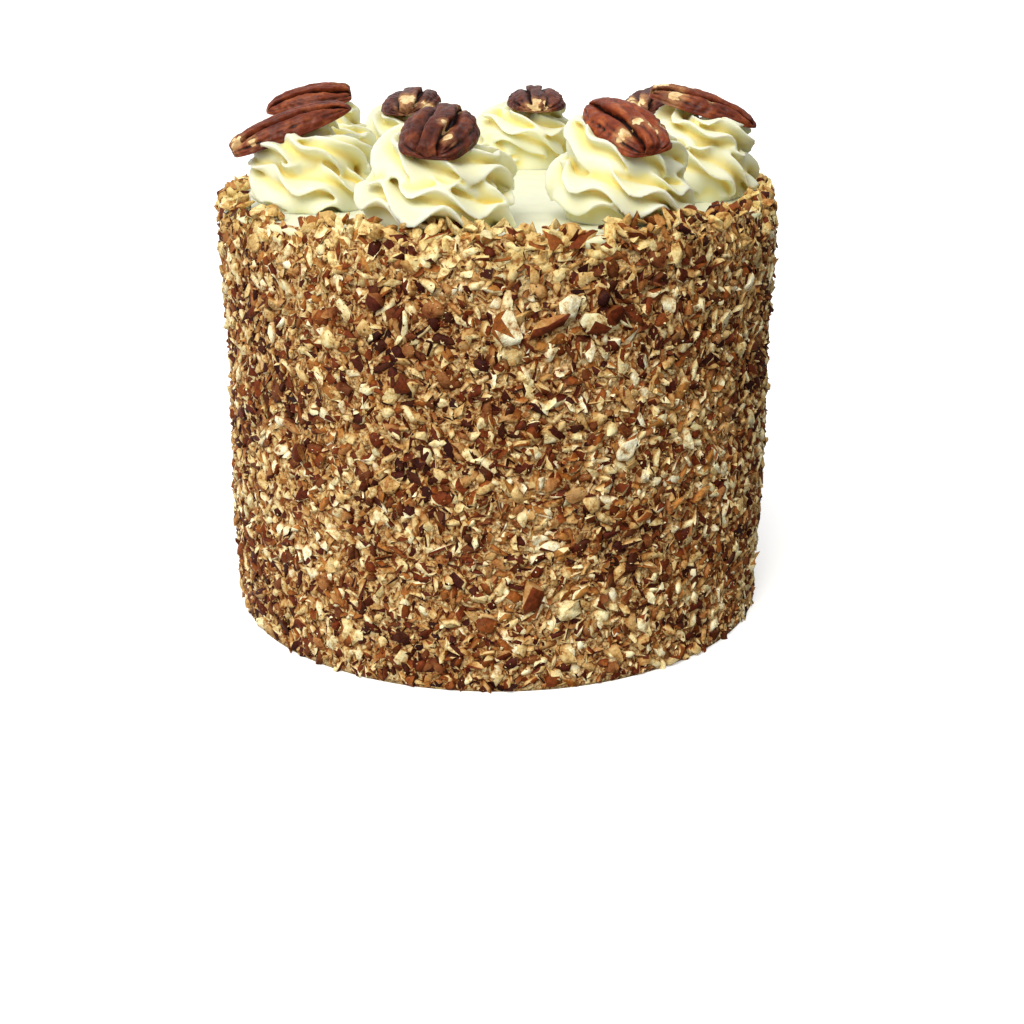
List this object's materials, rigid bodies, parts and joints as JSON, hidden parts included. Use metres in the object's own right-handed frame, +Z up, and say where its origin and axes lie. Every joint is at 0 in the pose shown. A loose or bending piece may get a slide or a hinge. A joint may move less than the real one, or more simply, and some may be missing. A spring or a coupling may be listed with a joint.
{
  "type": "layer cake",
  "caption": "Tall round uncut cake, its side coated in chopped pecans, with a pale frosted top and a ring of piped swirls, each carrying a pecan half.",
  "frame": {"origin": "centre of the flat base", "axes": "+Z up along the cake's axis, -Y towards the front, +X to the right seen from the front"},
  "size_m": [0.1715, 0.1726, 0.158],
  "materials": {
    "nut_coat": "rough chopped nuts",
    "frosting": "soft satin cream",
    "pecan": "satin nut skin"
  },
  "bodies": {
    "root": {"nut_coated_cake": "nut_coat", "top_frosting": "frosting", "swirl_1": "frosting", "swirl_2": "frosting", "swirl_3": "frosting", "swirl_4": "frosting", "swirl_5": "frosting", "swirl_6": "frosting", "swirl_7": "frosting", "swirl_8": "frosting", "pecan_half_1": "pecan", "pecan_half_2": "pecan", "pecan_half_3": "pecan", "pecan_half_4": "pecan", "pecan_half_5": "pecan", "pecan_half_6": "pecan", "pecan_half_7": "pecan", "pecan_half_8": "pecan"}
  },
  "joints": []
}
